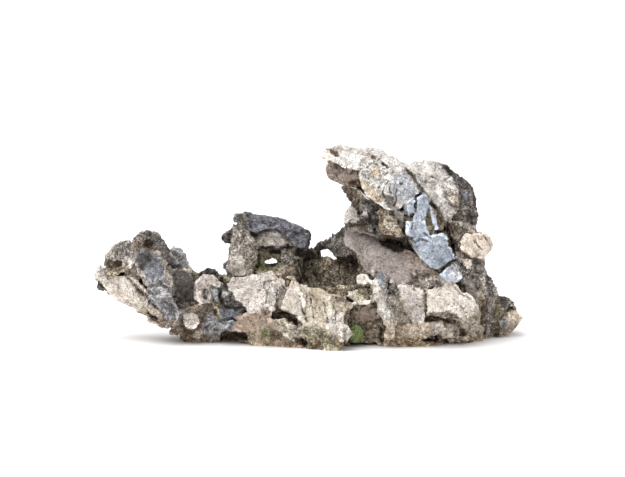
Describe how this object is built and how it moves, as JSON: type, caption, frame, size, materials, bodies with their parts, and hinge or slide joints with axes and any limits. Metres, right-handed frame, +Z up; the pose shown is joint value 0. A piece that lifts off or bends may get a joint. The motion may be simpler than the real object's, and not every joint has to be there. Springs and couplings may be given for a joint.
{
  "type": "scholars rock",
  "caption": "Low landscape scholars rock with a rising bow, a pierced tower under a dark slate cap, a sheltered basin and a leaning peak, and a pad of moss at its foot.",
  "frame": {"origin": "the middle of the stone's box in plan, on the surface that it stands on", "axes": "+X runs along the stone's length, from the low bow to the tall peak; +Z is up; the side that is meant to be looked at faces -Y"},
  "size_m": [0.4276, 0.176, 0.1956],
  "materials": {
    "limestone": "weathered mixed limestone and slate, matt, cream to blue-grey, with brown earth in the crevices",
    "moss": null
  },
  "bodies": {
    "root": {"stone": "limestone", "moss": "moss"}
  },
  "joints": []
}
